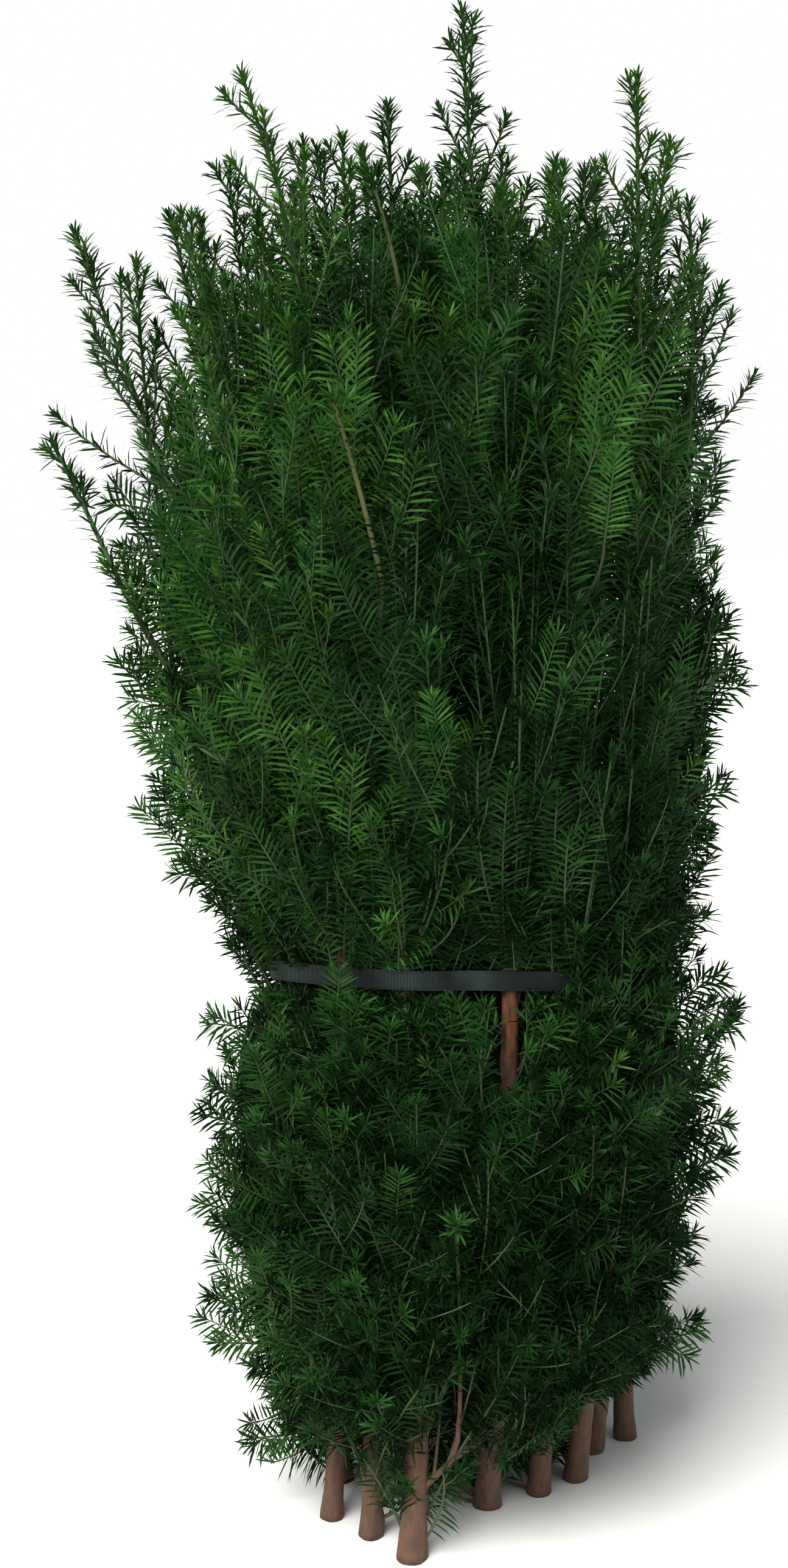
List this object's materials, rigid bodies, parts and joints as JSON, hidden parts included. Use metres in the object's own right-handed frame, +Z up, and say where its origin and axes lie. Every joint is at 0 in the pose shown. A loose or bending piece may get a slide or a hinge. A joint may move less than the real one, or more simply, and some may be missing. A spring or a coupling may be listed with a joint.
{
  "type": "english yew",
  "caption": "Evergreen yew grown as an upright clump of many stems from one root, drawn in round its waist by a flat woven tie strap.",
  "frame": {"origin": "centre of the flat cut under the main stem, at ground level", "axes": "+Z up, front of the clump towards -Y, +X to the right as seen from the front"},
  "size_m": [0.9132, 0.6564, 1.8813],
  "materials": {
    "bark": "rough",
    "needles": "satin",
    "webbing": "woven"
  },
  "bodies": {
    "root": {"bough_centre_leader": "bark", "bough_fork": "bark", "bough_left_arm": "bark", "bough_low_right": "bark", "bough_right_arm": "bark", "foliage_bough_centre_leader": "needles", "foliage_bough_fork": "needles", "foliage_bough_left_arm": "needles", "foliage_bough_low_right": "needles", "foliage_bough_right_arm": "needles", "foliage_crown_1": "needles", "foliage_crown_2": "needles", "foliage_crown_3": "needles", "foliage_crown_4": "needles", "foliage_crown_5": "needles", "foliage_crown_6": "needles", "foliage_foot_1": "needles", "foliage_foot_2": "needles", "foliage_foot_3": "needles", "foliage_foot_4": "needles", "foliage_foot_5": "needles", "foliage_foot_6": "needles", "foliage_shoulder_1": "needles", "foliage_shoulder_2": "needles", "foliage_shoulder_3": "needles", "foliage_shoulder_4": "needles", "foliage_shoulder_5": "needles", "foliage_shoulder_6": "needles", "foliage_shoulder_7": "needles", "foliage_skirt_1": "needles", "foliage_skirt_2": "needles", "foliage_skirt_3": "needles", "foliage_skirt_4": "needles", "foliage_skirt_5": "needles", "foliage_skirt_6": "needles", "leader_main_stem": "needles", "leader_stem_back": "needles", "leader_stem_back_left": "needles", "leader_stem_back_right": "needles", "leader_stem_far_right": "needles", "leader_stem_front": "needles", "leader_stem_front_left": "needles", "leader_stem_front_right": "needles", "leader_stem_left": "needles", "leader_stem_near_corner": "needles", "leader_stem_right": "needles", "leader_stem_right_corner": "needles", "main_stem": "bark", "stem_back": "bark", "stem_back_left": "bark", "stem_back_right": "bark", "stem_far_right": "bark", "stem_front": "bark", "stem_front_left": "bark", "stem_front_right": "bark", "stem_left": "bark", "stem_near_corner": "bark", "stem_right": "bark", "stem_right_corner": "bark", "tie_strap": "webbing"}
  },
  "joints": []
}
